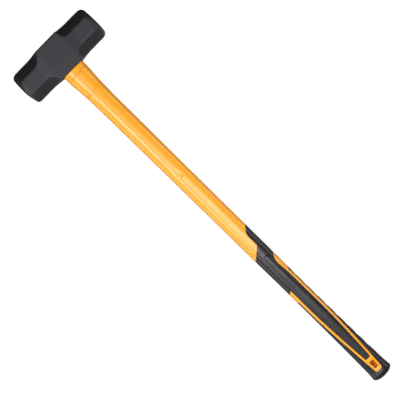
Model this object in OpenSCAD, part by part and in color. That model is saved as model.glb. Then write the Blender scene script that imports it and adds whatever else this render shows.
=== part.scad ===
// Fibreglass-handled sledgehammer, standing on its head with the handle upright.
// The origin is the centre of the head's top resting face. +Z runs up the handle to the butt,
// X is the striking axis, and the broad faces of the handle look along Y.

/* [Head] */
// Length of the head between the striking faces
head_length = 192; // [170:1:210]
// Height and depth across the flats of the eight-sided ends
head_flats = 70; // [66:1:74]
// Distance from the head's long axis to its corner chamfers
chamfer_reach = 35.6; // [34:0.1:37]
// How far the square eye block stands proud of the ends on each side
eye_block_rise = 1.5; // [0.5:0.1:2.5]
// Crown of each striking face
face_crown = 1.6; // [1:0.1:3.5]
// Run-out radius of the chamfers on the -X side of the eye
near_runout = 15; // [12:1:17]
// Run-out radius of the chamfers on the +X side of the eye
far_runout = 27; // [20:1:30]

/* [Handle] */
// Overall length from the head's top to the butt
overall_length = 900; // [820:10:920]
// Diameter of the pultruded glass-fibre core
core_diameter = 19; // [17:0.5:20]
// Wall of the rubber overmould
rubber_wall = 2.5; // [2:0.1:3]
// Exponent of the handle's oval section; 2 is an ellipse and more is squarer
section_power = 2.3; // [2:0.1:3]

/* [Grip] */
// Number of notches in the finger ripples
ripple_count = 8; // [6:1:8]
// Distance from one ripple notch to the next
ripple_pitch = 27; // [24:1:28]
// Depth of each ripple notch
ripple_depth = 0.9; // [0.3:0.1:1.5]
// Depth of the blind hang window in each broad face
window_depth = 10; // [6:1:11]

/* [Hidden] */
$fn = 64;
hull_fn = 32;
reach = 120;

// Head
head_half = head_length / 2;
flat_half = head_flats / 2;
block_half = flat_half + eye_block_rise;
block_height = 2 * block_half;
block_flat_x = 27;
block_blend_x = 48;
// Distance from the eye's centre at which the chamfers reach full depth
far_full_x = 51;
near_full_x = 42;
bevel_start_r = 30;
bevel_slope = 1.08;
bevel_end_r = 60;
crown_steps = 4;

// Eye: half the distance between the two arc centres, then the arc radius, at three heights
eye_arc_offset = 5;
eye_top_r = 14.5;
eye_waist_r = 12.5;
eye_mouth_r = 13.5;
core_recess = 0.8;
seal_height = 7;

// Neck: the crease between the collar and the jacket leans slightly across the handle
crease_z = block_height + 12.4;
crease_lean = 0.09;

// Core end cap, measured back from the butt
cap_wall = 1.5;
cap_mouth = 66;
cap_back = 48;
cap_floor = 4;

// Handle section stations: height, width along X, depth along Y
from_butt = overall_length;
stations = [
  [block_height,      48.2, 37.0],
  [block_height + 12, 48.1, 36.5],
  [block_height + 24, 46.8, 35.5],
  [block_height + 43, 43.8, 33.5],
  [block_height + 62, 42.2, 32.3],
  [block_height + 91, 40.5, 31.0],
  [block_height + 140, 40.1, 30.2],
  [from_butt - 470,   38.4, 29.4],
  [from_butt - 360,   38.1, 30.5],
  [from_butt - 300,   37.6, 31.0],
  [from_butt - 260,   37.0, 31.2],
  [from_butt - 200,   37.3, 31.2],
  [from_butt - 130,   38.0, 31.0],
  [from_butt - 70,    39.1, 31.5],
  [from_butt - 35,    40.6, 33.0],
  [from_butt - 16,    42.0, 34.5],
  [from_butt - 9.5,   43.4, 36.0]
];
dome_height = 9.5;
section_sides = 40;
dome_steps = 5;
inner_top = from_butt - 420;
inner_end = from_butt - 8;

// Grip artwork, as distances back from the butt and across the broad face
rib_straight = 180;
rib_inner_x = 11.7;
rib_outer_x = 16.2;
panel_end = 46.6;
tongue_side = 20.5;
tongue_end = 15;
outline_steps = 12;
window_top = 38.2;
window_foot = 22.6;
window_top_half = 4.7;
window_foot_half = 3.7;
window_corner = 1.2;
first_notch = 255;
notch_radius = 6;

// Mould gate mark on the broad face
gate_z = 362;
gate_radius = 1.6;
gate_depth = 0.7;

// ---- Section of the handle ----

function last_station() = len(stations) - 1;
function station_below(z, i = 0) =
  (i >= last_station() - 1 || stations[i + 1][0] > z) ? i : station_below(z, i + 1);
function station_slope(i, k) =
  let (a = max(i - 1, 0), b = min(i + 1, last_station()))
  (stations[b][k] - stations[a][k]) / (stations[b][0] - stations[a][0]);

// Smooth cubic through the stations: k is 1 for the width and 2 for the depth
function station_value(z, k) =
  let (
    i = station_below(z),
    span = stations[i + 1][0] - stations[i][0],
    u = min(max((z - stations[i][0]) / span, 0), 1),
    a = stations[i][k],
    b = stations[i + 1][k],
    da = station_slope(i, k) * span,
    db = station_slope(i + 1, k) * span
  )
  a * (2 * u ^ 3 - 3 * u ^ 2 + 1) + da * (u ^ 3 - 2 * u ^ 2 + u)
  + b * (3 * u ^ 2 - 2 * u ^ 3) + db * (u ^ 3 - u ^ 2);

// The butt closes in a quarter ellipse
function dome_factor(z) =
  let (u = max((z - (from_butt - dome_height)) / dome_height, 0))
  sqrt(max(1 - u * u, 0));

function signed_power(v, p) = sign(v) * abs(v) ^ p;
function section_ring(z, inset) =
  let (
    a = station_value(z, 1) / 2 * dome_factor(z) - inset,
    b = station_value(z, 2) / 2 * dome_factor(z) - inset
  )
  [for (i = [0 : section_sides - 1])
    let (t = 360 * i / section_sides)
    [a * signed_power(cos(t), 2 / section_power), b * signed_power(sin(t), 2 / section_power), z]];

// A closed solid through the handle's section at each of the given heights
module loft(heights, inset) {
  rings = [for (z = heights) section_ring(z, inset)];
  n = section_sides;
  points = [for (ring = rings) each ring];
  foot = [for (i = [0 : n - 1]) i];
  top = [for (i = [n - 1 : -1 : 0]) (len(rings) - 1) * n + i];
  sides = [for (r = [0 : len(rings) - 2], i = [0 : n - 1])
    let (a = r * n + i, b = r * n + (i + 1) % n)
    each [[a, a + n, b], [b, a + n, b + n]]];
  polyhedron(points = points, faces = concat([foot], sides, [top]));
}

// ---- Heights of the sections ----

neck_heights = [for (h = [0 : 10 : 140]) block_height + h];
shaft_heights = [for (i = [1 : 6]) block_height + 140 + i * (inner_top - block_height - 140) / 7];
grip_heights = [for (d = [420 : -12 : 12]) from_butt - d];
dome_heights = [for (i = [0 : dome_steps]) from_butt - dome_height + dome_height * sin(85 * i / dome_steps)];

module handle_envelope() {
  loft(concat(neck_heights, shaft_heights, grip_heights, dome_heights, [from_butt]), 0);
}

// What is left of the jacket under the rubber
module rubber_bed() {
  loft([for (z = grip_heights) if (z < inner_end) z], rubber_wall);
}

// ---- Outlines on the broad face, drawn in X and Z ----

module through_handle() {
  rotate([90, 0, 0]) linear_extrude(height = reach, center = true) children();
}

function rib_inner(d) = rib_inner_x - 6 * max((rib_straight - d) / 134, 0) ^ 1.5;
function rib_outer(d) = rib_outer_x - 8.4 * max((rib_straight - d) / 163, 0) ^ 1.4;

// Everything from the stepped upper edge of the rubber to past the butt
module rubber_outline() {
  polygon([
    [-30, from_butt - 402.5], [-8.5, from_butt - 378], [-6.4, from_butt - 373.5],
    [-5.9, from_butt - 369], [-5.9, from_butt - 345.5], [30, from_butt - 315.8],
    [30, from_butt + 10], [-30, from_butt + 10]
  ]);
}

// Outer edge of the two ribs and of the tongue that joins them round the hang window
function vee_edge() =
  let (
    side = [for (i = [0 : outline_steps])
      let (d = rib_straight + (tongue_side - rib_straight) * i / outline_steps)
      [rib_outer(d), from_butt - d]],
    mirrored = [for (i = [outline_steps : -1 : 0]) [-side[i][0], side[i][1]]],
    foot_half = rib_outer(tongue_side) - 1.3
  )
  concat(
    side,
    [[foot_half, from_butt - tongue_end - 1.2], [0, from_butt - tongue_end],
     [-foot_half, from_butt - tongue_end - 1.2]],
    mirrored
  );

// Rubber panel between the ribs
module centre_panel_outline() {
  side = [for (i = [0 : outline_steps])
    let (d = rib_straight + (panel_end - rib_straight) * i / outline_steps)
    [rib_inner(d), from_butt - d]];
  mirrored = [for (i = [outline_steps : -1 : 0]) [-side[i][0], side[i][1]]];
  polygon(concat([[rib_inner_x, from_butt - rib_straight - 1]], side, mirrored,
    [[-rib_inner_x, from_butt - rib_straight - 1]]));
}

// Upper end of the rib on the ripple side: a bellied patch that runs out over the edge
module near_rib_head_outline() {
  polygon([
    [-30, from_butt - 336], [-11, from_butt - 304.2], [-10.2, from_butt - 299],
    [-9.9, from_butt - 293], [-10.2, from_butt - 287], [-11.1, from_butt - 276],
    [-rib_inner_x, from_butt - 262], [-rib_inner_x, from_butt - rib_straight],
    [-rib_outer_x, from_butt - rib_straight], [-rib_outer_x, from_butt - 262],
    [-15.2, from_butt - 271], [-30, from_butt - 296]
  ]);
}

// Upper end of the rib on the smooth side, lower down and square-cut
module far_rib_head_outline() {
  polygon([
    [rib_inner_x, from_butt - 239.4], [30, from_butt - 228.4], [30, from_butt - 216],
    [rib_outer_x + 1.3, from_butt - 215.2], [rib_outer_x, from_butt - 211],
    [rib_outer_x, from_butt - rib_straight], [rib_inner_x, from_butt - rib_straight]
  ]);
}

// Everything inside the outer edges of the two ribs
module inside_ribs_outline() {
  polygon(concat(
    [[30, from_butt - 216], [rib_outer_x + 1.3, from_butt - 215.2], [rib_outer_x, from_butt - 211]],
    vee_edge(),
    [[-rib_outer_x, from_butt - 262], [-15.2, from_butt - 271], [-30, from_butt - 296],
     [-30, from_butt - 420], [30, from_butt - 420]]
  ));
}

module ribs_outline() {
  near_rib_head_outline();
  far_rib_head_outline();
  difference() {
    polygon(vee_edge());
    centre_panel_outline();
  }
}

module upper_rubber_area() {
  through_handle() difference() {
    intersection() {
      rubber_outline();
      inside_ribs_outline();
    }
    ribs_outline();
  }
}

module lower_rubber_area() {
  through_handle() difference() {
    rubber_outline();
    inside_ribs_outline();
  }
}

// The band between the head and the leaning crease
module collar_area() {
  through_handle() polygon([
    [-reach, block_height], [-reach, crease_z - crease_lean * reach],
    [reach, crease_z + crease_lean * reach], [reach, block_height]
  ]);
}

module hang_window() {
  corners = [
    [window_top_half, window_top], [-window_top_half, window_top],
    [-window_foot_half, window_foot], [window_foot_half, window_foot]
  ];
  inset = window_corner;
  mouth_y = station_value(from_butt - window_top, 2) / 2;
  for (side = [-1, 1])
    translate([0, side * (mouth_y - window_depth / 2 + reach / 4), 0])
      rotate([90, 0, 0])
        linear_extrude(height = window_depth + reach / 2, center = true)
          hull() for (c = corners)
            translate([c[0] - sign(c[0]) * inset,
              from_butt - c[1] + sign(c[1] - (window_top + window_foot) / 2) * inset])
              circle(inset, $fn = hull_fn);
}

// ---- Head ----

// Outline of the bar, the same from the front and from above
module bar_outline() {
  far = [[head_half, flat_half], [block_blend_x, flat_half], [block_flat_x, block_half]];
  near = [for (i = [2 : -1 : 0]) [-far[i][0], far[i][1]]];
  polygon(concat(far, near, [for (p = far) [-p[0], -p[1]]], [for (p = near) [-p[0], -p[1]]]));
}

module bar() {
  intersection() {
    through_handle() bar_outline();
    linear_extrude(height = reach, center = true) bar_outline();
  }
}

// Turned form that crowns and bevels both striking faces
module turned_ends() {
  crown = [for (i = [0 : crown_steps])
    let (r = bevel_start_r * i / crown_steps)
    [r, head_half - face_crown * (r / bevel_start_r) ^ 2]];
  rim = [bevel_end_r, head_half - face_crown - bevel_slope * (bevel_end_r - bevel_start_r)];
  half = concat(crown, [rim]);
  other = [for (i = [len(half) - 1 : -1 : 0]) [half[i][0], -half[i][1]]];
  rotate([0, 90, 0]) rotate_extrude() polygon(concat(half, other));
}

// Profile of one corner chamfer, with its scooped run-out towards the eye
module chamfer_profile(full_x, radius) {
  translate([full_x, chamfer_reach]) square(reach);
  translate([full_x, chamfer_reach + radius]) circle(radius);
  translate([full_x - radius, chamfer_reach + radius]) square([2 * radius, reach]);
}

module corner_chamfers() {
  for (turn = [45 : 90 : 315]) rotate([turn, 0, 0]) {
    through_handle() chamfer_profile(far_full_x, far_runout);
    through_handle() mirror([1, 0]) chamfer_profile(near_full_x, near_runout);
  }
}

module eye_slice(z, r) {
  for (side = [-1, 1])
    translate([side * eye_arc_offset, 0, z]) cylinder(h = 0.02, r = r, $fn = hull_fn);
}

// Oval eye, widest at the top, narrowest in the middle
module eye_space() {
  hull() {
    eye_slice(-1, eye_top_r);
    eye_slice(block_half, eye_waist_r);
  }
  hull() {
    eye_slice(block_half, eye_waist_r);
    eye_slice(block_height + 1, eye_mouth_r);
  }
}

module head() {
  color("#3f3e43") difference() {
    translate([0, 0, block_half]) difference() {
      intersection() {
        bar();
        turned_ends();
      }
      corner_chamfers();
    }
    eye_space();
  }
}

// ---- Joint between head and handle ----

module core_space() {
  translate([0, 0, core_recess])
    cylinder(h = from_butt - cap_back - cap_floor - core_recess, d = core_diameter);
}

module slab(low, high) {
  translate([-reach / 2, -reach / 2, low]) cube([reach, reach, high - low]);
}

module eye_resin() {
  color("#5a3b1c") difference() {
    intersection() {
      eye_space();
      slab(core_recess, block_height - seal_height);
    }
    core_space();
  }
}

module eye_seal() {
  color("#1d1d1f") difference() {
    intersection() {
      eye_space();
      slab(block_height - seal_height, block_height);
    }
    core_space();
  }
}

module neck_collar() {
  color("#f6a02a") difference() {
    intersection() {
      handle_envelope();
      collar_area();
    }
    core_space();
  }
}

// ---- Core ----

module fibreglass_core() {
  color("#e7e2cf") core_space();
}

module cap_space() {
  translate([0, 0, from_butt - cap_mouth])
    cylinder(h = cap_mouth - cap_back, d = core_diameter + 2 * cap_wall);
}

module core_end_cap() {
  color("#d9d5c8") difference() {
    cap_space();
    core_space();
  }
}

// ---- Jacket and rubber ----

module gate_mark() {
  face_y = station_value(gate_z, 2) / 2;
  translate([0, -face_y, gate_z]) rotate([90, 0, 0])
    cylinder(h = 2 * gate_depth, r = gate_radius, center = true);
}

module handle_jacket() {
  color("#f7a52c") difference() {
    union() {
      difference() {
        handle_envelope();
        upper_rubber_area();
        lower_rubber_area();
        collar_area();
      }
      rubber_bed();
    }
    core_space();
    cap_space();
    hang_window();
    gate_mark();
  }
}

module ripple_notches() {
  for (i = [0 : ripple_count - 1])
    let (
      z = from_butt - first_notch + i * ripple_pitch,
      edge_x = -station_value(z, 1) / 2
    )
    translate([edge_x + ripple_depth - notch_radius, 0, z])
      rotate([90, 0, 0]) cylinder(h = reach, r = notch_radius, center = true);
}

module upper_grip() {
  color("#2d2c30") difference() {
    intersection() {
      handle_envelope();
      upper_rubber_area();
    }
    rubber_bed();
  }
}

module butt_grip() {
  color("#2d2c30") difference() {
    intersection() {
      handle_envelope();
      lower_rubber_area();
    }
    rubber_bed();
    ripple_notches();
  }
}

head();
eye_resin();
eye_seal();
neck_collar();
fibreglass_core();
core_end_cap();
handle_jacket();
upper_grip();
butt_grip();
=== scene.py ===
"""Looks for the sledgehammer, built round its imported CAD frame.

Lengths are in millimetres up to the point where a mesh is made. The handle's surface is laid
out flat, as distance round the section and height, and every outline on the grip is drawn there.
"""

import math

import bpy
import numpy as np
from mathutils import Matrix, Vector
from mathutils.geometry import delaunay_2d_cdt


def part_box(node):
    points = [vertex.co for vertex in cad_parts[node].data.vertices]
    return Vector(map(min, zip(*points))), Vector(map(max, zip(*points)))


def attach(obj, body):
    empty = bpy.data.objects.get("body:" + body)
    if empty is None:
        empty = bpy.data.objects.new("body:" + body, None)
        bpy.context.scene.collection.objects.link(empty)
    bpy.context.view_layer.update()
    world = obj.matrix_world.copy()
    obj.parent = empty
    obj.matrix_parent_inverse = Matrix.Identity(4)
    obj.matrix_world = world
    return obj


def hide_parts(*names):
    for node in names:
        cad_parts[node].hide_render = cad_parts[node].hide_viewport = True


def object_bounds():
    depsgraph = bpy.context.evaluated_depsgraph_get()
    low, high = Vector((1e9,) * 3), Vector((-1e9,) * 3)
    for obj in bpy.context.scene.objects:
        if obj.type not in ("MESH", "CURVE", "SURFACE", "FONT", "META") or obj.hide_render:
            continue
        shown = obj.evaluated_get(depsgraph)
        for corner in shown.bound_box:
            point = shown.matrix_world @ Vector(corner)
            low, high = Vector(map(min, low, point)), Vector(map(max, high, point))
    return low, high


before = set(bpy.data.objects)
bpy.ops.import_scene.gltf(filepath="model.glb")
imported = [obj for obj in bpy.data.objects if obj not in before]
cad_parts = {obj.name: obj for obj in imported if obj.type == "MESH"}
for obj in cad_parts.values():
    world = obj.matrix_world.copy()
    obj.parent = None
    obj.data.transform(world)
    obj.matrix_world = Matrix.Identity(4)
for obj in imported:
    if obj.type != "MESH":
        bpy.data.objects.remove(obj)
cad_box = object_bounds()

MM = 0.001

# ---- Values that part.scad also has, as it has the outlines on the grip ----

BUTT_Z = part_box("butt_grip")[1].z / MM
BUTT_ROUND = 9.5
CREASE_LEAN = 0.09
CREASE_Z = 85.4
CORE_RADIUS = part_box("fibreglass_core")[1].x / MM
CORE_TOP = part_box("fibreglass_core")[1].z / MM
RUBBER_WALL = 2.5
BED_END = 12.0
RIPPLE_PITCH = 27.0
RIPPLE_DEPTH = 0.9
FIRST_NOTCH = 255.0
GATE_Z = 362.0

# ---- Helpers ----


def smoothstep(value, start, stop):
    share = np.clip((value - start) / (stop - start), 0, 1)
    return share * share * (3 - 2 * share)


def spaced(start, stop, step):
    """Evenly spaced values from start to stop, about step apart."""
    return np.linspace(start, stop, max(1, math.ceil(abs(stop - start) / step)) + 1)


def wobble(points, wavelength, seed, waves=14):
    """Smooth irregularity between about -1 and 1, from plane waves in seeded directions."""
    rng = np.random.default_rng(seed)
    total = np.zeros(len(points))
    for _ in range(waves):
        direction = rng.normal(size=3)
        direction *= 2 * math.pi / (wavelength * rng.uniform(0.8, 1.3) * np.linalg.norm(direction))
        total += np.cos(points @ direction + rng.uniform(0, 2 * math.pi))
    return total / math.sqrt(waves)


def mesh_points(mesh):
    """A mesh's vertices in millimetres."""
    flat = np.empty(len(mesh.vertices) * 3, np.float32)
    mesh.vertices.foreach_get("co", flat)
    return flat.reshape(-1, 3).astype(float) / MM


def smooth_table(xs, ys):
    """A smooth cubic through the given values."""
    slopes = np.gradient(ys, xs)

    def value(x):
        i = np.clip(np.searchsorted(xs, x) - 1, 0, len(xs) - 2)
        span = xs[i + 1] - xs[i]
        u = np.clip((x - xs[i]) / span, 0, 1)
        start = ys[i] * (1 + 2 * u) * (1 - u) ** 2 + slopes[i] * span * u * (1 - u) ** 2
        end = ys[i + 1] * u * u * (3 - 2 * u) + slopes[i + 1] * span * u * u * (u - 1)
        return start + end

    return value


def new_object(name, points, faces, **attributes):
    """A mesh object from points in millimetres, without the points that no face uses.
    Each attribute has one number per point."""
    used = np.unique(np.concatenate([np.asarray(f).ravel() for f in faces]))
    places = np.full(len(points), -1)
    places[used] = np.arange(len(used))
    mesh = bpy.data.meshes.new(name)
    mesh.from_pydata((points[used] * MM).tolist(), [], [places[list(f)].tolist() for f in faces])
    for label, values in attributes.items():
        attribute = mesh.attributes.new(label, "FLOAT", "POINT")
        attribute.data.foreach_set("value", np.asarray(values)[used].astype(np.float32))
    mesh.shade_smooth()
    obj = bpy.data.objects.new(name, mesh)
    bpy.context.scene.collection.objects.link(obj)
    return obj


# ---- Procedural materials ----


class Surface:
    """A procedural material: a Principled shader and the textures that drive it."""

    def __init__(self, name, **sockets):
        self.material = bpy.data.materials.new(name)
        self.material.use_nodes = True
        self.nodes = self.material.node_tree.nodes
        self.links = self.material.node_tree.links
        self.bsdf = self.nodes["Principled BSDF"]
        for socket, value in sockets.items():
            self.bsdf.inputs[socket.replace("_", " ")].default_value = value
        self.place = self.nodes.new("ShaderNodeTexCoord").outputs["Object"]

    def put(self, value, socket):
        if isinstance(value, bpy.types.NodeSocket):
            self.links.new(value, socket)
        else:
            socket.default_value = value

    def scaled(self, size, stretch=(1, 1, 1)):
        """Object coordinates in units of size millimetres, longer along a stretched axis."""
        mapping = self.nodes.new("ShaderNodeMapping")
        mapping.inputs["Scale"].default_value = [1 / (size * MM * s) for s in stretch]
        self.links.new(self.place, mapping.inputs["Vector"])
        return mapping.outputs["Vector"]

    def noise(self, size, detail=3.0, stretch=(1, 1, 1)):
        """Fractal noise whose coarsest grain is about size millimetres."""
        texture = self.nodes.new("ShaderNodeTexNoise")
        texture.inputs["Scale"].default_value = 1.0
        texture.inputs["Detail"].default_value = detail
        self.links.new(self.scaled(size, stretch), texture.inputs["Vector"])
        return texture.outputs["Fac"]

    def cells(self, size):
        """Distance to the nearest of many scattered points about size millimetres apart."""
        texture = self.nodes.new("ShaderNodeTexVoronoi")
        texture.inputs["Scale"].default_value = 1.0
        self.links.new(self.scaled(size), texture.inputs["Vector"])
        return texture.outputs["Distance"]

    def attribute(self, name):
        node = self.nodes.new("ShaderNodeAttribute")
        node.attribute_name = name
        return node.outputs["Fac"]

    def math(self, operation, a, b):
        node = self.nodes.new("ShaderNodeMath")
        node.operation = operation
        self.put(a, node.inputs[0])
        self.put(b, node.inputs[1])
        return node.outputs[0]

    def remap(self, value, low, high, to_low, to_high):
        node = self.nodes.new("ShaderNodeMapRange")
        self.put(value, node.inputs["Value"])
        limits = {"From Min": low, "From Max": high, "To Min": to_low, "To Max": to_high}
        for socket, number in limits.items():
            node.inputs[socket].default_value = number
        return node.outputs["Result"]

    def patches(self, noise):
        """Noise spread out to run from 0 to 1."""
        return self.remap(noise, 0.35, 0.65, 0, 1)

    def mix(self, share, a, b):
        node = self.nodes.new("ShaderNodeMix")
        node.data_type = "RGBA"
        self.put(share, node.inputs["Factor"])
        self.put(a, node.inputs["A"])
        self.put(b, node.inputs["B"])
        return node.outputs["Result"]

    def bump(self, height, depth, below=None):
        """A bump about depth millimetres deep, over an earlier bump if there is one."""
        node = self.nodes.new("ShaderNodeBump")
        node.inputs["Distance"].default_value = depth * MM
        self.links.new(height, node.inputs["Height"])
        if below is not None:
            self.links.new(below, node.inputs["Normal"])
        return node.outputs["Normal"]

    def finish(self, **sockets):
        for socket, value in sockets.items():
            self.put(value, self.bsdf.inputs[socket.replace("_", " ")])
        return self.material


def rgb(red, green, blue):
    return (red, green, blue, 1.0)


def painted_steel():
    surface = Surface("satin_paint_on_forged_steel", Specular_IOR_Level=0.43,
                      Specular_Tint=rgb(0.97, 0.94, 1.0))
    mottle = surface.noise(9.0, detail=5.0)
    grain = surface.noise(1.1, detail=4.0)
    speck = surface.noise(0.45, detail=2.0)
    paint = surface.mix(surface.patches(mottle), rgb(0.0135, 0.0126, 0.0158),
                        rgb(0.0180, 0.0170, 0.0205))
    rubbed = surface.remap(grain, 0.38, 0.62, 0.1, 1.0)
    worn = surface.math("MULTIPLY", surface.attribute("wear"), rubbed)
    colour = surface.mix(worn, paint, rgb(0.030, 0.029, 0.033))
    roughness = surface.remap(mottle, 0.3, 0.7, 0.46, 0.56)
    coarse = surface.bump(grain, 0.05)
    fine = surface.bump(speck, 0.012, coarse)
    return surface.finish(Base_Color=colour, Roughness=roughness, Normal=fine)


def moulded_plastic(name, colour, deeper, pocket_colour):
    """Satin polypropylene, with faint flow streaks up the handle, a fine spark texture, and painted
    shade on the hang window's recess floor.
    """
    surface = Surface(name, Specular_IOR_Level=0.46)
    flow = surface.noise(7.0, detail=3.0, stretch=(1, 1, 9))
    cloud = surface.noise(26.0, detail=2.0)
    spark = surface.noise(0.55, detail=2.0)
    tint = surface.math("ADD", surface.math("MULTIPLY", flow, 0.6),
                        surface.math("MULTIPLY", cloud, 0.4))
    base = surface.mix(surface.remap(tint, 0.36, 0.64, 0, 1), colour, deeper)
    # Painted shade: a darker brown on the hang window's recess floor, standing in for the shade that
    # falls there.
    base = surface.mix(surface.attribute("pocket"), base, pocket_colour)
    roughness = surface.remap(tint, 0.3, 0.7, 0.30, 0.36)
    ripple = surface.bump(cloud, 0.08)
    fine = surface.bump(spark, 0.006, ripple)
    return surface.finish(Base_Color=base, Roughness=roughness, Normal=fine)


def grip_rubber():
    surface = Surface("fine_textured_rubber", Specular_IOR_Level=0.36,
                      Specular_Tint=rgb(0.97, 0.95, 1.0))
    cloud = surface.noise(14.0, detail=3.0)
    pebble = surface.cells(0.85)
    speck = surface.noise(0.4, detail=2.0)
    base = surface.mix(surface.patches(cloud), rgb(0.0088, 0.0082, 0.0102),
                       rgb(0.0116, 0.0110, 0.0132))
    dust = surface.math("MULTIPLY", surface.remap(pebble, 0.45, 0.75, 0, 0.35),
                        surface.remap(cloud, 0.4, 0.7, 0.3, 1))
    colour = surface.mix(dust, base, rgb(0.019, 0.0185, 0.021))
    roughness = surface.remap(cloud, 0.3, 0.7, 0.31, 0.38)
    coarse = surface.bump(pebble, 0.018)
    fine = surface.bump(speck, 0.008, coarse)
    return surface.finish(Base_Color=colour, Roughness=roughness, Normal=fine)


def cast_resin():
    surface = Surface("cast_amber_resin", Specular_IOR_Level=0.5)
    cloud = surface.noise(6.0, detail=4.0)
    bubbles = surface.cells(2.2)
    base = surface.mix(surface.patches(cloud), rgb(0.10, 0.050, 0.018), rgb(0.17, 0.095, 0.035))
    colour = surface.mix(surface.remap(bubbles, 0.05, 0.16, 1, 0), base, rgb(0.34, 0.24, 0.12))
    roughness = surface.remap(cloud, 0.3, 0.7, 0.16, 0.30)
    return surface.finish(Base_Color=colour, Roughness=roughness, Normal=surface.bump(cloud, 0.25))


def ground_fibreglass():
    surface = Surface("ground_glass_fibre_rod", Specular_IOR_Level=0.4)
    fibres = surface.noise(0.5, detail=3.0, stretch=(1, 1, 60))
    bundles = surface.cells(1.4)
    base = surface.mix(surface.patches(fibres), rgb(0.62, 0.57, 0.38), rgb(0.78, 0.74, 0.58))
    colour = surface.mix(surface.remap(bundles, 0.1, 0.7, 0, 0.5), base, rgb(0.46, 0.42, 0.27))
    roughness = surface.remap(fibres, 0.3, 0.7, 0.5, 0.7)
    return surface.finish(Base_Color=colour, Roughness=roughness, Normal=surface.bump(fibres, 0.06))


def plain_moulding(name, light, dark, roughness):
    surface = Surface(name)
    cloud = surface.noise(5.0, detail=4.0)
    colour = surface.mix(surface.patches(cloud), light, dark)
    spread = surface.remap(cloud, 0.3, 0.7, roughness - 0.05, roughness + 0.05)
    return surface.finish(Base_Color=colour, Roughness=spread, Normal=surface.bump(cloud, 0.04))


# ---- The handle's surface, laid out flat ----

# The section's power below one height, which is near an ellipse, and the squarer one above another
ROUND_POWER = 2.12
FLAT_POWER = 2.5
FLAT_FROM = 338.0
FLAT_BY = 352.0
# A mean section, which sets how distance round the handle is measured
MEAN_HALF_WIDTH = 19.5
MEAN_HALF_DEPTH = 15.5
MEAN_POWER = 2.3
ARC_SAMPLES = 721
# How far from a ring's height, and from an axis, a CAD vertex may be and still count
RING_TOLERANCE = 0.06
AXIS_TOLERANCE = 0.02
# Heights between which the lean of the neck's crease dies out
LEAN_FROM = CREASE_Z + 4
LEAN_BY = CREASE_Z + 34
DOME_START = BUTT_Z - BUTT_ROUND
DOME_LENGTH = 25.0
DOME_ANGLE = math.radians(86)
HANDLE_NODES = ("neck_collar", "handle_jacket", "upper_grip", "butt_grip")


def handle_sections():
    """Half width and half depth of the handle, read from the rings of the CAD nodes."""
    points = np.vstack([mesh_points(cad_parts[name].data) for name in HANDLE_NODES])
    rows = []
    for z in np.unique(points[:, 2].round(1)):
        ring = points[np.abs(points[:, 2] - z) < RING_TOLERANCE]
        edge = ring[np.abs(ring[:, 1]) < AXIS_TOLERANCE, 0]
        front = ring[np.abs(ring[:, 0]) < AXIS_TOLERANCE, 1]
        if len(edge) and len(front) and z <= DOME_START + 0.1:
            rows.append((z, edge.max(), -front.min()))
    return np.array(rows).T


ring_z, ring_half_width, ring_half_depth = handle_sections()
half_width = smooth_table(ring_z, ring_half_width)
half_depth = smooth_table(ring_z, ring_half_depth)


def section_power(z):
    return ROUND_POWER + (FLAT_POWER - ROUND_POWER) * smoothstep(z, FLAT_FROM, FLAT_BY)


def quarter_arc():
    """Angle from the middle of the broad face, and the distance round the mean section to it."""
    angle = np.linspace(0, math.pi / 2, ARC_SAMPLES)
    x = MEAN_HALF_WIDTH * np.sin(angle) ** (2 / MEAN_POWER)
    y = MEAN_HALF_DEPTH * np.cos(angle) ** (2 / MEAN_POWER)
    return angle, np.concatenate([[0], np.cumsum(np.hypot(np.diff(x), np.diff(y)))])


arc_angle, arc_length = quarter_arc()
QUARTER = arc_length[-1]


def around(x, z):
    """Distance round the handle, from the middle of the broad face to x."""
    share = np.clip(np.abs(x) / half_width(z), 0, 1) ** (section_power(z) / 2)
    return np.sign(x) * np.interp(np.arcsin(share), arc_angle, arc_length)


def signed_power(value, power):
    return np.sign(value) * np.abs(value) ** power


def surface_point(u, v):
    """The point on the front half at distance u round the handle and height v."""
    beyond = np.abs(u) > QUARTER
    angle = np.interp(np.where(beyond, 2 * QUARTER - np.abs(u), np.abs(u)), arc_length, arc_angle)
    angle = np.where(beyond, math.pi - angle, angle) * np.sign(u)
    turn = np.clip((v - DOME_START) / DOME_LENGTH, 0, 1) * math.pi / 2
    z = np.minimum(v, DOME_START) + BUTT_ROUND * np.sin(turn)
    power = 2 / section_power(z)
    base = np.minimum(z, DOME_START)
    x = half_width(base) * np.cos(turn) * signed_power(np.sin(angle), power)
    y = -half_depth(base) * np.cos(turn) * signed_power(np.cos(angle), power)
    lean = CREASE_LEAN * x * (1 - smoothstep(v, LEAN_FROM, LEAN_BY))
    return np.stack([x, y, z + lean], axis=-1)


def surface_normal(u, v):
    step = 0.4
    across = surface_point(u + step, v) - surface_point(u - step, v)
    up = surface_point(u, v + step) - surface_point(u, v - step)
    normal = np.cross(across, up)
    return normal / np.linalg.norm(normal, axis=-1, keepdims=True)


# ---- Outlines on the grip: x, and the distance back from the butt ----

RIB_INNER_X = 11.7
RIB_OUTER_X = 16.2
RUBBER_TOP = [(-30, 402.5), (-8.5, 378), (-6.4, 373.5), (-5.9, 369), (-5.9, 345.5), (30, 315.8)]
NEAR_RIB_INSIDE = [(-30, 336), (-11, 304.2), (-10.2, 299), (-9.9, 293), (-10.2, 287), (-11.1, 276),
                   (-RIB_INNER_X, 262)]
FAR_RIB_INSIDE = [(RIB_INNER_X, 239.4), (30, 228.4)]
NEAR_RIB_OUTSIDE = [(-30, 296), (-15.2, 271), (-RIB_OUTER_X, 262)]
FAR_RIB_OUTSIDE = [(RIB_OUTER_X, 211), (17.5, 215.2), (30, 216)]
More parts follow.
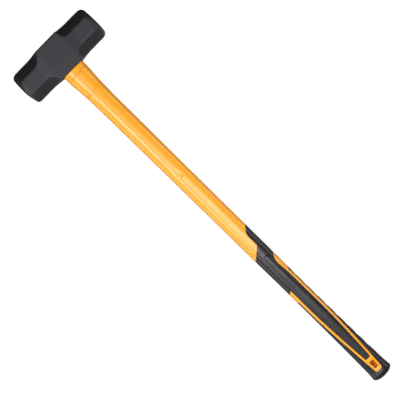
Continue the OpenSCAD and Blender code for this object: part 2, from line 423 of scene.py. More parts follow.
# The ribs close in from here to the butt. A taper is how far, over what length, and its power
RIB_STRAIGHT = 180.0
RIB_INNER_TAPER = (6, 134, 1.5)
RIB_OUTER_TAPER = (8.4, 163, 1.4)
RIB_SAMPLES = 13
PANEL_END = 46.6
TONGUE_SIDE = 20.5
TONGUE_END = 15.0
TONGUE_CORNER = (1.3, 1.2)
WINDOW = [(-4.7, 38.2), (4.7, 38.2), (3.7, 22.6), (-3.7, 22.6)]
WINDOW_CORNER = 1.3
WINDOW_FOLD = 30.6
LINE_STEP = 0.8
FINE_STEP = 0.2
CORNER_RADIUS = 1.0
# The ridge on the sleeve: its middle, its top, its half width there, and how much it widens
ARCH_X = -2.2
ARCH_TOP = BUTT_Z - 320
ARCH_HALF = 5.0
ARCH_SPREAD = 1.0
ARCH_SPREAD_LENGTH = 130
# The creases beside the neck: side, then half width and height where each starts at the
# silhouette and where it ends
APRONS = ((-1, (21.0, 122.0, 12.6, 144.0)), (1, (20.0, 128.0, 10.4, 150.0)))


def rib_x(x, taper, back):
    inward, length, power = taper
    return x - inward * max((RIB_STRAIGHT - back) / length, 0) ** power


def rib_inner(back):
    return rib_x(RIB_INNER_X, RIB_INNER_TAPER, back)


def rib_outer(back):
    return rib_x(RIB_OUTER_X, RIB_OUTER_TAPER, back)


def mirrored(points):
    return [(-x, back) for x, back in reversed(points)]


def panel_edge():
    """Where the centre panel meets the ribs."""
    side = [(rib_inner(back), back) for back in np.linspace(PANEL_END, RIB_STRAIGHT, RIB_SAMPLES)]
    return NEAR_RIB_INSIDE + mirrored(side) + side + FAR_RIB_INSIDE


def vee_edge():
    """Where the butt's rubber meets the ribs and the tongue."""
    side = [(rib_outer(back), back) for back in np.linspace(TONGUE_SIDE, RIB_STRAIGHT, RIB_SAMPLES)]
    foot = [(rib_outer(TONGUE_SIDE) - TONGUE_CORNER[0], TONGUE_END + TONGUE_CORNER[1])]
    tongue = mirrored(foot) + [(0, TONGUE_END)] + foot
    return NEAR_RIB_OUTSIDE + mirrored(side) + tongue + side + FAR_RIB_OUTSIDE


def drawn_line(corners, closed=False, radius=CORNER_RADIUS):
    """An outline with its corners eased, as closely spaced points on the laid-out surface."""
    if closed:
        corners = corners + corners[:1]
    xz = [np.array([corners[0][0], BUTT_Z - corners[0][1]])]
    for (x0, b0), (x1, b1) in zip(corners, corners[1:]):
        count = max(1, round(math.hypot(x1 - x0, b1 - b0) / FINE_STEP))
        for i in range(1, count + 1):
            share = i / count
            xz.append(np.array([x0 + (x1 - x0) * share, BUTT_Z - b0 - (b1 - b0) * share]))
    xz = np.array(xz)
    reach = max(1, round(radius / FINE_STEP))
    if closed:
        body = xz[:-1]
        eased = np.mean([np.roll(body, k, axis=0) for k in range(-reach, reach + 1)], axis=0)
        xz = np.vstack([eased, eased[:1]])
    else:
        padded = np.vstack([np.repeat(xz[:1], reach, 0), xz, np.repeat(xz[-1:], reach, 0)])
        xz = np.mean([padded[k:k + len(xz)] for k in range(2 * reach + 1)], axis=0)
    xz = xz[::round(LINE_STEP / FINE_STEP)]
    if closed:
        nearly_back = np.linalg.norm(xz[-1] - xz[0]) < LINE_STEP / 2
        xz = np.vstack([xz[:-1] if nearly_back else xz, xz[:1]])
    inside = np.abs(xz[:, 0]) < half_width(xz[:, 1])
    keep = inside.copy()
    keep[:-1] |= inside[1:]
    keep[1:] |= inside[:-1]
    xz = xz[keep]
    return np.column_stack([around(xz[:, 0], xz[:, 1]), xz[:, 1]])


def distance_to(lines, points):
    """Distance of each point from the nearest line."""
    starts = np.vstack([line[:-1] for line in lines])
    spans = np.vstack([np.diff(line, axis=0) for line in lines])
    squares = np.maximum((spans ** 2).sum(1), 1e-12)
    best = np.empty(len(points))
    batch = 2000
    for first in range(0, len(points), batch):
        offset = points[first:first + batch, None, :] - starts[None]
        share = np.clip((offset * spans).sum(2) / squares, 0, 1)
        gap = offset - share[..., None] * spans
        best[first:first + batch] = np.sqrt((gap ** 2).sum(2).min(1))
    return best


def below_line(line, points):
    """Which points lie on the butt's side of a line that crosses the whole broad face."""
    beyond, far_down = QUARTER + 5, -500
    corners = [[beyond, line[-1, 1]], [beyond, far_down], [-beyond, far_down], [-beyond, line[0, 1]]]
    return ~inside_polygon(np.vstack([line, corners]), points)


def inside_polygon(polygon, points):
    inside = np.zeros(len(points), bool)
    for (x0, y0), (x1, y1) in zip(polygon, np.roll(polygon, -1, axis=0)):
        if y0 == y1:
            continue
        crosses = (points[:, 1] < y0) != (points[:, 1] < y1)
        inside ^= crosses & (points[:, 0] < x0 + (points[:, 1] - y0) * (x1 - x0) / (y1 - y0))
    return inside


def arch_half(z):
    return ARCH_HALF + ARCH_SPREAD * smoothstep(z, ARCH_TOP, ARCH_TOP + ARCH_SPREAD_LENGTH)


def apron_edge(apron, z):
    """How far from the middle the crease beside the neck lies at height z."""
    wide, start, narrow, stop = apron
    share = np.clip((z - start) / (stop - start), 0, 1)
    return wide + (narrow - wide) * np.sin(share * math.pi / 2)


def on_surface(x, z):
    return np.column_stack([around(x, z), z])


def guide_lines():
    """Where the relief turns sharply, so that the layout has points along it."""
    lines = []
    past_apron, past_arch = 12, 110
    for side, apron in APRONS:
        _, start, _, stop = apron
        z = spaced(start, stop + past_apron, LINE_STEP)
        lines.append(on_surface(side * apron_edge(apron, z), z))
    turn = spaced(0, math.pi, 0.15)
    crown_x, crown_z = ARCH_X - ARCH_HALF * np.cos(turn), ARCH_TOP + ARCH_HALF * (1 - np.sin(turn))
    lines.append(on_surface(crown_x, crown_z))
    arch_z = spaced(ARCH_TOP + ARCH_HALF + 1, ARCH_TOP + past_arch, 1.2)
    for side in (-1, 1):
        lines.append(on_surface(ARCH_X + side * arch_half(arch_z), arch_z))
    return lines


top_line = drawn_line(RUBBER_TOP)
panel_line = drawn_line(panel_edge())
vee_line = drawn_line(vee_edge())
window_line = drawn_line(WINDOW, closed=True, radius=WINDOW_CORNER)
GRIP_LINES = [top_line, panel_line, vee_line, window_line]
GUIDE_LINES = guide_lines()

# ---- Triangulated layout of the front half ----

JACKET_START = CREASE_Z + 0.12
BED_STOP = BUTT_Z - BED_END
DOME_STOP = DOME_START + DOME_LENGTH * DOME_ANGLE / (math.pi / 2)
FOLD_Z = BUTT_Z - WINDOW_FOLD
COLUMN_STEP = 1.75
# Rows of points beside each outline, and beside the relief's sharp turns
SIDE_OFFSETS = (0.16, 0.36, 0.62)
GUIDE_OFFSETS = (-0.6, -0.25, 0.1, 0.5)
CLEAR_OF_LINES = 1.15
CLEAR_ON_SEAM = 0.5
GATE_RINGS = (0.5, 1.0, 1.35, 1.7, 2.1, 2.7)
GATE_SIDES = 16
# Places on the layout that are closer than this count as one
TOUCHING = 1e-3


def layout_columns():
    inner = spaced(-QUARTER + 1.3, QUARTER - 1.3, COLUMN_STEP)
    return np.concatenate([[-QUARTER, -QUARTER + 0.35], inner, [QUARTER - 0.35, QUARTER]])


def layout_rows():
    """Heights of the layout's rows, which are closer together where the shape is finer."""
    return np.concatenate([
        JACKET_START + np.array([0, 0.12, 0.3, 0.6, 1.2]),
        spaced(JACKET_START + 3, 112, 3.5),
        spaced(113.4, 162, 1.4),
        spaced(166, 470, 5.5),
        spaced(474, 496, 2.4),
        spaced(498, BED_STOP, 1.7),
        spaced(BED_STOP + 1.2, DOME_STOP, 1.3),
    ])


def points_beside(line, offset, clearance):
    """A line moved sideways, without its points that are near an outline or the seam."""
    tangent = np.gradient(line, axis=0)
    tangent /= np.maximum(np.linalg.norm(tangent, axis=1, keepdims=True), 1e-9)
    beside = line + offset * np.column_stack([-tangent[:, 1], tangent[:, 0]])
    beside = beside[np.abs(beside[:, 0]) < QUARTER - 0.1]
    return beside[distance_to(GRIP_LINES, beside) > clearance]


def layout_points():
    """Points of the flat layout, and the edges that its triangles keep to."""
    grid = np.array([(u, v) for v in layout_rows() for u in layout_columns()])
    clear = distance_to(GRIP_LINES + GUIDE_LINES, grid) > CLEAR_OF_LINES
    on_seam = np.abs(np.abs(grid[:, 0]) - QUARTER) < 1e-6
    clear |= on_seam & (distance_to(GRIP_LINES, grid) > CLEAR_ON_SEAM)
    clear &= np.hypot(grid[:, 0], grid[:, 1] - GATE_Z) > GATE_RINGS[-1] + 0.6
    loose = [grid[clear]]
    loose += [points_beside(line, side * offset, 0.9 * offset)
              for line in GRIP_LINES for offset in SIDE_OFFSETS for side in (-1, 1)]
    loose += [points_beside(line, offset, SIDE_OFFSETS[-1] + 0.3)
              for line in GUIDE_LINES for offset in GUIDE_OFFSETS]
    turns = np.linspace(0, 2 * math.pi, GATE_SIDES + 1)[:-1]
    loose.append(np.array([(radius * math.cos(turn), GATE_Z + radius * math.sin(turn))
                           for radius in GATE_RINGS for turn in turns]))
    loose.append(np.array([(0.0, GATE_Z)]))
    points, edges = [np.vstack(loose)], []
    count = len(points[0])
    (top_half, top), (foot_half, foot) = WINDOW[1:3]
    fold_end = around(np.interp(WINDOW_FOLD, (foot, top), (foot_half, top_half)), FOLD_Z)
    fold = np.array([(-fold_end, FOLD_Z), (fold_end, FOLD_Z)])
    for line in GRIP_LINES + [fold]:
        points.append(line)
        edges += [(count + i, count + i + 1) for i in range(len(line) - 1)]
        count += len(line)
    return np.vstack(points), edges


class Layout:
    """The triangulated front half: where each point lies, and which piece each triangle is."""

    def __init__(self):
        points, edges = layout_points()
        verts, _, faces, _, _, _ = delaunay_2d_cdt([Vector(p) for p in points], edges, [], 0, 1e-4)
        self.uv = np.array([tuple(v) for v in verts])
        self.faces = np.array(faces)
        corners = self.uv[self.faces]
        first, second = corners[:, 1] - corners[:, 0], corners[:, 2] - corners[:, 0]
        area = first[:, 0] * second[:, 1] - first[:, 1] * second[:, 0]
        self.faces[area < 0] = self.faces[area < 0][:, ::-1]
        self.faces = self.faces[np.abs(area) > 1e-7]
        self.on_seam = np.abs(np.abs(self.uv[:, 0]) - QUARTER) < TOUCHING
        self.uv[self.on_seam, 0] = np.sign(self.uv[self.on_seam, 0]) * QUARTER
        self.place = surface_point(self.uv[:, 0], self.uv[:, 1])
        self.normal = surface_normal(self.uv[:, 0], self.uv[:, 1])
        self.place[self.on_seam, 1] = 0
        self.normal[self.on_seam, 1] = 0
        middle = self.uv[self.faces].mean(1)
        in_rubber = below_line(top_line, middle)
        past_panel = below_line(panel_line, middle)
        past_vee = below_line(vee_line, middle)
        self.window = inside_polygon(window_line, middle)
        self.upper = in_rubber & ~past_panel
        self.butt = past_vee
        self.jacket = ~self.upper & ~self.butt & ~self.window
        self.before_bed_stop = middle[:, 1] < BED_STOP
        self.from_rubber_line = distance_to([top_line, panel_line, vee_line], self.uv)
        self.from_window = distance_to([window_line], self.uv)


layout = Layout()

# ---- Relief on the handle ----

RIDGE_RISE = 0.5
RIDGE_CROWN = 0.35
# Distances from the ridge's top, towards the butt, between which it dies out
RIDGE_FADE = (50, 108)
APRON_LIP = 0.9
APRON_SPREAD = 5
GATE_DEPTH = 1.1
GATE_RIM = 0.2
NOTCH_Z = BUTT_Z - FIRST_NOTCH
# Heights between which the ripples come in, and go out
RIPPLES_IN = (NOTCH_Z - 16, NOTCH_Z - 6)
RIPPLES_OUT = (838, 852)


def raised_arch(x, z):
    """The low arch-topped ridge down the middle of the rubber sleeve."""
    half = arch_half(z)
    into_arch = np.minimum(z - ARCH_TOP - half, 0)
    inside = half - np.hypot(x - ARCH_X, into_arch)
    ridge = RIDGE_RISE * smoothstep(inside, -0.6, 0.7)
    crown = RIDGE_CROWN * (1 - np.clip(1 - inside / half, 0, 1) ** 2)
    return (ridge + crown) * (1 - smoothstep(z, ARCH_TOP + RIDGE_FADE[0], ARCH_TOP + RIDGE_FADE[1]))


def apron_crease(x, z):
    """The broad face rises a little to a curved crease on each side, near the neck."""
    total = 0
    for side, apron in APRONS:
        inward = apron_edge(apron, z) - side * x
        spread = np.exp(-np.maximum(inward - 0.5, 0) / APRON_SPREAD)
        lip = APRON_LIP * smoothstep(inward, -1.0, 0.5) * spread
        _, start, _, stop = apron
        fade = smoothstep(z, start, start + 7) * (1 - smoothstep(z, stop - 16, stop + 10))
        total = total + lip * fade
    return total


def gate_mark(u, z):
    """The moulding gate's dimple on the front, with a slight rim."""
    away = np.hypot(u, z - GATE_Z)
    dimple = GATE_DEPTH * (1 - smoothstep(away, 0.8, 1.7))
    return GATE_RIM * np.exp(-((away - 2.1) / 0.4) ** 2) - dimple


def finger_ripples(u, z):
    """Convex ripples between narrow notches, on the -X edge only."""
    wave = np.abs(np.sin(math.pi * (z - NOTCH_Z) / RIPPLE_PITCH))
    stretch = smoothstep(z, *RIPPLES_IN) * (1 - smoothstep(z, *RIPPLES_OUT))
    edge = smoothstep(-u, QUARTER * 0.62, QUARTER * 0.96)
    return -RIPPLE_DEPTH * (1 - wave) ** 1.5 * stretch * edge


def parting_line(u, v, height):
    """The faint seam along both edges, which dies out on the butt's dome."""
    seam = height * np.exp(-((QUARTER - np.abs(u)) / 0.25) ** 2)
    return seam * (1 - smoothstep(v, DOME_START - 4, DOME_START + 6))


def round_over(distance, radius):
    """How far a rounded edge has dropped at a distance in from it."""
    into = np.clip(radius - distance, 0, radius)
    return radius - np.sqrt(radius ** 2 - into ** 2)


# ---- Pieces made from the layout ----

CORE_GAP = 0.02
# More than the points in any shell, so that two point numbers make one key
KEY_STEP = 10_000_000
# The hang window's recess: its depth at the fold, and its floor's slopes to either side
POCKET_DEPTH = 9.6
SLOPE_TO_BUTT = 0.85
SLOPE_TO_HEAD = 0.62


class Shell:
    """Layers of the layout, wrapped round both halves of the handle, and the walls between."""

    def __init__(self):
        self.points = np.zeros((0, 3))
        self.faces = []
        self.starts = []

    def layer(self, depth_front, depth_back=None, shift=None):
        """Adds a copy of all the layout's points, sunk by a depth, and returns its number."""
        depth_back = depth_front if depth_back is None else depth_back
        front = layout.place - depth_front[:, None] * layout.normal
        back = layout.place - depth_back[:, None] * layout.normal
        if shift is not None:
            front[:, 1] += shift
            back[:, 1] += shift
        back[:, 1] *= -1
        self.starts.append(len(self.points))
        self.points = np.vstack([self.points, front, back])
        return len(self.starts) - 1

    def wrapped(self, layer, mask):
        """The masked triangles of both halves, as indices into one layer."""
        start, count = self.starts[layer], len(layout.uv)
        faces = layout.faces[mask]
        back = np.where(layout.on_seam[faces], faces, faces + count)
        return np.vstack([faces + start, back[:, ::-1] + start])

    def add(self, layer, mask, inward=False):
        faces = self.wrapped(layer, mask)
        self.faces += (faces[:, ::-1] if inward else faces).tolist()

    def rim(self, layer, mask):
        """Directed edges round the masked area."""
        faces = self.wrapped(layer, mask)
        edges = np.vstack([faces[:, [0, 1]], faces[:, [1, 2]], faces[:, [2, 0]]])
        key = edges[:, 0] * KEY_STEP + edges[:, 1]
        reverse = edges[:, 1] * KEY_STEP + edges[:, 0]
        return edges[~np.isin(key, reverse)]

    def layout_uv(self, layer, edges):
        return layout.uv[(edges - self.starts[layer]) % len(layout.uv)]

    def wall(self, edges, upper, lower):
        step = self.starts[lower] - self.starts[upper]
        self.faces += [[j, i, i + step, j + step] for i, j in edges.tolist()]

    def fan(self, edges, centre):
        self.points = np.vstack([self.points, [centre]])
        tip = len(self.points) - 1
        self.faces += [[j, i, tip] for i, j in edges.tolist()]

    def bore(self, edges, heights, radius):
        """Closes a ring of edges down to a round bore, which ends in a flat bottom."""
        ring = edges[:, 0].tolist()
        following = dict(edges.tolist())
        order = [ring[0]]
        while following[order[-1]] != order[0]:
            order.append(following[order[-1]])
        angle = np.arctan2(self.points[order, 1], self.points[order, 0])
        previous = order
        for z in heights:
            start = len(self.points)
            x, y = radius * np.cos(angle), radius * np.sin(angle)
            self.points = np.vstack([self.points, np.column_stack([x, y, np.full(len(angle), z)])])
            ring = list(range(start, start + len(order)))
            for k in range(len(order)):
                after = (k + 1) % len(order)
                self.faces.append([previous[after], previous[k], ring[k], ring[after]])
            previous = ring
        self.faces.append(previous[::-1])


def at_height(shell, layer, edges, height):
    return np.all(np.abs(shell.layout_uv(layer, edges)[:, :, 1] - height) < TOUCHING, axis=1)


def front_and_back_relief():
    u, z = layout.uv[:, 0], layout.place[:, 2]
    x = layout.place[:, 0]
    both = raised_arch(x, z) + apron_crease(x, z)
    return both + gate_mark(u, z), both


def moulded_jacket():
    """Plastic jacket: bare shaft, ribs and tongue at the surface, and the bed under the rubber."""
    u, v = layout.uv[:, 0], layout.uv[:, 1]
    front, back = front_and_back_relief()
    edge = round_over(layout.from_rubber_line, 0.32) + round_over(layout.from_window, 0.7)
    edge = edge + round_over(v - JACKET_START, 0.6) - parting_line(u, v, 0.10)
    shell = Shell()
    skin = shell.layer(edge - front, edge - back)
    bed = shell.layer(np.full(len(u), RUBBER_WALL))
    slope = np.where(v > FOLD_Z, SLOPE_TO_BUTT, SLOPE_TO_HEAD)
    floor = shell.layer(np.zeros(len(u)), shift=POCKET_DEPTH - slope * np.abs(v - FOLD_Z))
    rubber = (layout.upper | layout.butt) & layout.before_bed_stop
    shell.add(skin, layout.jacket)
    shell.add(bed, rubber)
    shell.add(floor, layout.window)
    rim = shell.rim(skin, layout.jacket)
    neck = at_height(shell, skin, rim, JACKET_START)
    window_gap = distance_to([window_line], shell.layout_uv(skin, rim).reshape(-1, 2)).reshape(-1, 2)
    window = np.all(window_gap < TOUCHING, axis=1)
    shell.wall(rim[~neck & ~window], skin, bed)
    shell.wall(rim[window], skin, floor)
    shell.bore(rim[neck], (CREASE_Z + 0.4, CORE_TOP + 0.3), CORE_RADIUS + CORE_GAP)
    bed_rim = shell.rim(bed, rubber)
    stop = at_height(shell, bed, bed_rim, BED_STOP)
    shell.fan(bed_rim[stop], (0, 0, BED_STOP))
    # Marks the hang window's recess floor, which the material darkens as painted shade.
    pocket = np.zeros(len(shell.points))
    pocket[shell.starts[floor]:shell.starts[floor] + 2 * len(u)] = 1
    return new_object("moulded_jacket", shell.points, shell.faces, pocket=pocket)


def rubber_piece(name, region):
    """One moulding of the rubber: rounded at its outlines, and closed underneath."""
    u, v = layout.uv[:, 0], layout.uv[:, 1]
    front, back = front_and_back_relief()
    ripples = finger_ripples(u, layout.place[:, 2])
    edge = round_over(layout.from_rubber_line, 0.55) - parting_line(u, v, 0.08) - ripples
    shell = Shell()
    skin = shell.layer(edge - front, edge - back)
    under = shell.layer(np.full(len(u), RUBBER_WALL - 0.03))
    shell.add(skin, region)
    shell.add(under, region & layout.before_bed_stop, inward=True)
    rim = shell.rim(skin, region)
    pole = at_height(shell, skin, rim, v.max())
    shell.wall(rim[~pole], skin, under)
    if pole.any():
        shell.fan(rim[pole], (0, 0, BUTT_Z))
        inner = shell.rim(under, region & layout.before_bed_stop)
        stop = at_height(shell, under, inner, BED_STOP)
        shell.fan(inner[stop][:, ::-1], (0, 0, BED_STOP + 0.05))
    return new_object(name, shell.points, shell.faces)


def neck_ring():
    """The short collar between the head and the leaning crease."""
    columns = spaced(-QUARTER, QUARTER, COLUMN_STEP)
    low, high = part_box("neck_collar")[0].z / MM, CREASE_Z - 0.12
    rows = np.concatenate([
        low + np.array([0.02, 0.15, 0.4, 0.9]),
        spaced(low + 2.5, high - 1.6, 1.6),
        high - np.array([0.9, 0.5, 0.25, 0.08, 0]),
    ])
    u = np.concatenate([columns, 2 * QUARTER + columns[1:-1]])
    angle_u = np.where(u > QUARTER, 2 * QUARTER - u, u)
    rings = []
    for v in rows:
        height = np.full(len(u), v)
        point, normal = surface_point(angle_u, height), surface_normal(angle_u, height)
        squash = (v - low) / (high - low)
        point[:, 2] = v + CREASE_LEAN * point[:, 0] * squash
        drop = round_over(np.array(high - v), 0.6) + round_over(np.array(v - low), 0.4)
        point -= drop * normal
        point[u > QUARTER, 1] *= -1
        rings.append(point)
    count = len(u)
    angle = np.arctan2(rings[0][:, 1], rings[0][:, 0])
    bore = np.column_stack([np.cos(angle), np.sin(angle)]) * (CORE_RADIUS + CORE_GAP)
    for z in (high, low + 0.02):
        rings.append(np.column_stack([bore, np.full(count, z)]))
    faces = []
    for r in range(len(rings)):
        here, above = r * count, (r + 1) % len(rings) * count
        for k in range(count):
            after = (k + 1) % count
            faces.append([here + k, here + after, above + after, above + k])
    return new_object("neck_ring", np.vstack(rings), faces)


# ---- The forged head ----

HEAD_LOW, HEAD_HIGH = (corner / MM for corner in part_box("head"))
HEAD_HALF = HEAD_HIGH.x
BLOCK_HALF = HEAD_HIGH.y
BLOCK_RISE = 1.5
FLAT_HALF = BLOCK_HALF - BLOCK_RISE
HEAD_AXIS_Z = (HEAD_LOW.z + HEAD_HIGH.z) / 2
CHAMFER_REACH = 35.6
FACE_CROWN = 1.6
BEVEL_START = 30.0
BEVEL_SLOPE = 1.08
# The block's extra height over the eye dies out between these distances from the middle
RISE_FADE = (25, 50)
# The +X face's edge is cut back a little on the handle's side: the cut's x at one height, measured
# from the head's axis, and its slope
CUT_X = 94.6
CUT_HEIGHT = 17
CUT_SLOPE = 0.24
# The eye is a circle drawn out by an offset to each side, with its radius at the top of the head,
# in the middle and at the neck
EYE_OFFSET = 5
EYE_RADII = (14.5, 12.5, 13.5)
# How far each kind of edge is rounded
FACE_EDGE = 2.6
BAR_EDGE = 3.0
CHAMFER_EDGE = 1.7
END_EDGE = 2.4
EYE_EDGE = 2.0
# Keeps the uneven forged surface inside the CAD head
HEAD_ALLOWANCE = 0.13
# Where each chamfer reaches full depth, and its run-out's radius. Each is for one end, in X, and
# for the head's top (-1) or its foot (1)
RUN_OUTS = {(1, -1): (53.4, 30), (1, 1): (49, 23), (-1, -1): (40.7, 13), (-1, 1): (43.4, 17)}
HEAD_VOXEL = 0.95
HEAD_STEPS = 7


def smooth_max(a, b, reach):
    """The larger value, with the edge between them rounded over a short reach."""
    share = np.maximum(reach - np.abs(a - b), 0) / reach
    return np.maximum(a, b) + share * share * reach / 4


def head_parts(p):
    """How far each point stands outside the cheeks, top and foot, ends, chamfers and eye."""
    x, y, z = p[:, 0], p[:, 1], p[:, 2] - HEAD_AXIS_Z
    rise = FLAT_HALF + BLOCK_RISE * (1 - smoothstep(np.abs(x), *RISE_FADE))
    cheek, foot = np.abs(y) - rise, np.abs(z) - rise
    radius = np.hypot(y, z)
    crown = np.abs(x) - (HEAD_HALF - FACE_CROWN * (radius / BEVEL_START) ** 2)
    bevel = np.abs(x) - (HEAD_HALF - FACE_CROWN - BEVEL_SLOPE * (radius - BEVEL_START))
    ends = smooth_max(crown, bevel / math.hypot(1, BEVEL_SLOPE), FACE_EDGE)
    cut = (x - CUT_X + CUT_SLOPE * (z - CUT_HEIGHT)) / math.hypot(1, CUT_SLOPE)
    ends = smooth_max(ends, cut, FACE_EDGE)
    diagonal = (np.abs(y) + np.abs(z)) / math.sqrt(2)
    chamfer = np.full(len(p), -99.0)
    for (end, side), (full_x, run_out) in RUN_OUTS.items():
        here = (np.sign(x) == end) & (np.where(z > 0, 1, -1) == side)
        along = np.minimum(np.abs(x) - full_x, 0)
        scoop = run_out - np.hypot(along, diagonal - CHAMFER_REACH - run_out)
        beyond = np.where(diagonal > CHAMFER_REACH + run_out, run_out + along, scoop)
        chamfer = np.where(here, np.where(along < 0, beyond, diagonal - CHAMFER_REACH), chamfer)
    from_axis = np.hypot(np.maximum(np.abs(x) - EYE_OFFSET, 0), y)
    eye = np.interp(z, (-BLOCK_HALF, 0, BLOCK_HALF), EYE_RADII) - from_axis
    return cheek, foot, ends, chamfer, eye


def head_field(p):
    """Roughly how far each point stands outside the forged head."""
    cheek, foot, ends, chamfer, eye = head_parts(p)
    bar = smooth_max(cheek, foot, BAR_EDGE)
    body = smooth_max(smooth_max(bar, chamfer, CHAMFER_EDGE), ends, END_EDGE)
    body = smooth_max(body, eye, EYE_EDGE)
    off_faces = 1 - smoothstep(np.abs(p[:, 0]), 86, 93)
    forged = 0.08 * wobble(p, 34, 3) + 0.03 * wobble(p, 11, 5)
    return body + np.clip(forged, -0.12, 0.12) * off_faces + HEAD_ALLOWANCE


def head_gradient(p):
    step = 0.05
    parts = []
    for axis in range(3):
        shift = np.zeros(3)
        shift[axis] = step
        parts.append((head_field(p + shift) - head_field(p - shift)) / (2 * step))
    return np.stack(parts, axis=-1)


def remeshed_cad_head():
    """A fine even mesh over the CAD head, as points in millimetres and faces."""
    work = bpy.data.objects.new("head_work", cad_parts["head"].data.copy())
    bpy.context.scene.collection.objects.link(work)
    remesh = work.modifiers.new("remesh", "REMESH")
    remesh.mode = "VOXEL"
    remesh.voxel_size = HEAD_VOXEL * MM
    bpy.context.view_layer.update()
    evaluated = work.evaluated_get(bpy.context.evaluated_depsgraph_get())
    mesh = bpy.data.meshes.new_from_object(evaluated)
    bpy.data.objects.remove(work)
    return mesh_points(mesh), [list(polygon.vertices) for polygon in mesh.polygons]


def forged_head():
    """The even mesh, moved onto the head's own surface. Its edges are marked as worn in patches."""
    points, faces = remeshed_cad_head()
    for _ in range(HEAD_STEPS):
        value, slope = head_field(points), head_gradient(points)
        square = np.maximum((slope ** 2).sum(1), 0.2)
        points -= np.clip(value / square, -1, 1)[:, None] * slope
    parts = np.sort(np.stack(head_parts(points)), axis=0)
    near_edge = 1 - smoothstep(parts[-1] - parts[-2], 0.3, 2.2)
    patchy = smoothstep(wobble(points, 9, 11), -0.6, 1.2)
    head = new_object("forged_head", points, faces, wear=near_edge * (0.25 + 0.75 * patchy))
    slope = head_gradient(points)
    normals = slope / np.linalg.norm(slope, axis=1, keepdims=True)
    head.data.normals_split_custom_set_from_vertices(normals.tolist())
    return head


# ---- Put the pieces on the frame ----


def place(piece, material, slot, *nodes):
    piece.data.materials.append(material)
    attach(piece, "root")
    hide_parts(*nodes)
    return piece


YELLOW = rgb(0.95, 0.390, 0.010)
YELLOW_DEEPER = rgb(0.94, 0.368, 0.008)
# Painted shade: the dark brown of the hang window's recess floor, not the plastic's own colour.
POCKET_SHADE_BROWN = rgb(0.50, 0.125, 0.010)
SHARP_ANGLE = math.radians(42)
rubber_material = grip_rubber()

place(forged_head(), painted_steel(), "painted_steel", "head")
place(neck_ring(), moulded_plastic("moulded_collar", YELLOW, YELLOW_DEEPER, YELLOW_DEEPER),
      "collar_plastic", "neck_collar")
jacket = place(moulded_jacket(), moulded_plastic("moulded_jacket", YELLOW, YELLOW_DEEPER, POCKET_SHADE_BROWN),
               "jacket_plastic", "handle_jacket")
sleeve = place(rubber_piece("grip_sleeve", layout.upper), rubber_material, "grip_rubber", "upper_grip")
butt = place(rubber_piece("butt_rubber", layout.butt), rubber_material, "grip_rubber", "butt_grip")
for piece in (jacket, sleeve, butt):
    piece.data.set_sharp_from_angle(angle=SHARP_ANGLE)

CARRIED_OVER = {
    "eye_resin": cast_resin(),
    "fibreglass_core": ground_fibreglass(),
    "eye_seal": plain_moulding("seal_rubber", rgb(0.020, 0.020, 0.022), rgb(0.027, 0.027, 0.030), 0.6),
    "core_end_cap": plain_moulding("natural_end_cap", rgb(0.60, 0.58, 0.52), rgb(0.54, 0.52, 0.45),
                                   0.5),
}
for name, material in CARRIED_OVER.items():
    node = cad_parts[name]
    node.data.materials.clear()
    node.data.materials.append(material)

# ---- Stage, light and camera ----

VIEW_DISTANCE = 6.0
VIEW_SPAN = 0.758
VIEW_CENTRE = Vector((0.0086, 0, 0.4175))
VIEW_ROLL = math.radians(134.4)
SENSOR = 36.0
# Strength of the world on everything that isn't seen directly
WORLD_LIGHT = 0.34
FLOOR_HALF = 40.0
FLOOR_GAP = 0.0005
FLOOR_GLOW = 0.8
FLOOR_SEEN = rgb(0.8, 0.8, 0.8)
FLOOR_LIT = rgb(0.12, 0.12, 0.12)
WHITE = rgb(1, 1, 1)


def make_camera():
    data = bpy.data.cameras.new("camera")
    data.sensor_width = SENSOR
    data.lens = SENSOR * VIEW_DISTANCE / VIEW_SPAN
    data.clip_end = 100
    camera = bpy.data.objects.new("camera", data)
    right = Vector((math.cos(VIEW_ROLL), 0, math.sin(VIEW_ROLL)))
    up = Vector((-math.sin(VIEW_ROLL), 0, math.cos(VIEW_ROLL)))
    back = Vector((0, -1, 0))
    turned = Matrix((right, up, back)).transposed().to_4x4()
    camera.matrix_world = Matrix.Translation(VIEW_CENTRE + back * VIEW_DISTANCE) @ turned
    bpy.context.scene.collection.objects.link(camera)
    bpy.context.scene.camera = camera


def area_light(name, location, target, size, power):
    data = bpy.data.lights.new(name, "AREA")
    data.shape = "RECTANGLE"
    data.size, data.size_y = size
    data.energy = power
    light = bpy.data.objects.new(name, data)
    light.location = location
    light.rotation_euler = (Vector(target) - Vector(location)).to_track_quat("-Z", "Y").to_euler()
    bpy.context.scene.collection.objects.link(light)


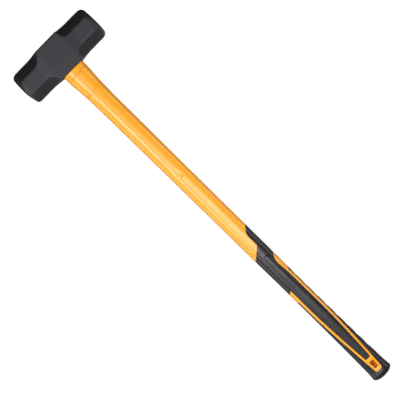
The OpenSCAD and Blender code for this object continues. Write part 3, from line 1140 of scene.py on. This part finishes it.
def make_world():
    """White to the eye, and a dimmer even light on the object."""
    world = bpy.data.worlds.new("studio")
    world.use_nodes = True
    nodes, links = world.node_tree.nodes, world.node_tree.links
    background = nodes["Background"]
    rays = nodes.new("ShaderNodeLightPath")
    strength = nodes.new("ShaderNodeMapRange")
    links.new(rays.outputs["Is Camera Ray"], strength.inputs["Value"])
    strength.inputs["To Min"].default_value = WORLD_LIGHT
    strength.inputs["To Max"].default_value = 1.0
    links.new(strength.outputs["Result"], background.inputs["Strength"])
    background.inputs["Color"].default_value = WHITE
    bpy.context.scene.world = world


def make_floor():
    """A wide pale floor: white to the eye, and darker to the light that falls on it."""
    corners = [(x * FLOOR_HALF, y * FLOOR_HALF, 0) for x, y in ((-1, -1), (1, -1), (1, 1), (-1, 1))]
    mesh = bpy.data.meshes.new("floor")
    mesh.from_pydata(corners, [], [(0, 1, 2, 3)])
    floor = bpy.data.objects.new("floor", mesh)
    floor.location.z = cad_box[0][2] - FLOOR_GAP
    bpy.context.scene.collection.objects.link(floor)
    material = bpy.data.materials.new("pale_floor")
    material.use_nodes = True
    nodes, links = material.node_tree.nodes, material.node_tree.links
    shader = nodes["Principled BSDF"]
    shader.inputs["Roughness"].default_value = 0.9
    shader.inputs["Specular IOR Level"].default_value = 0.0
    rays = nodes.new("ShaderNodeLightPath")
    pale = nodes.new("ShaderNodeMix")
    pale.data_type = "RGBA"
    pale.inputs["A"].default_value = FLOOR_LIT
    pale.inputs["B"].default_value = FLOOR_SEEN
    links.new(rays.outputs["Is Camera Ray"], pale.inputs["Factor"])
    links.new(pale.outputs["Result"], shader.inputs["Base Color"])
    shader.inputs["Emission Color"].default_value = WHITE
    glow = nodes.new("ShaderNodeMath")
    glow.operation = "MULTIPLY"
    glow.inputs[1].default_value = FLOOR_GLOW
    links.new(rays.outputs["Is Camera Ray"], glow.inputs[0])
    links.new(glow.outputs[0], shader.inputs["Emission Strength"])
    mesh.materials.append(material)


make_camera()
make_world()
make_floor()
area_light("key", (1.15, -1.95, 0.06), (0, 0, 0.20), (0.5, 0.65), 42)
area_light("upper_key", (0.01, -1.3, 0.49), (0, 0, 0.49), (0.34, 0.30), 7.5)
area_light("ripple_side", (-1.8, -0.8, 0.4), (0, 0, 0.4), (0.8, 1.2), 12)
area_light("smooth_side", (2.1, -0.25, 0.3), (0, 0, 0.3), (1.2, 1.2), 18)
area_light("back", (-1.2, 2.6, 0.9), (0, 0, 0.4), (1.4, 1.4), 10)
bpy.context.scene.view_settings.view_transform = "Standard"
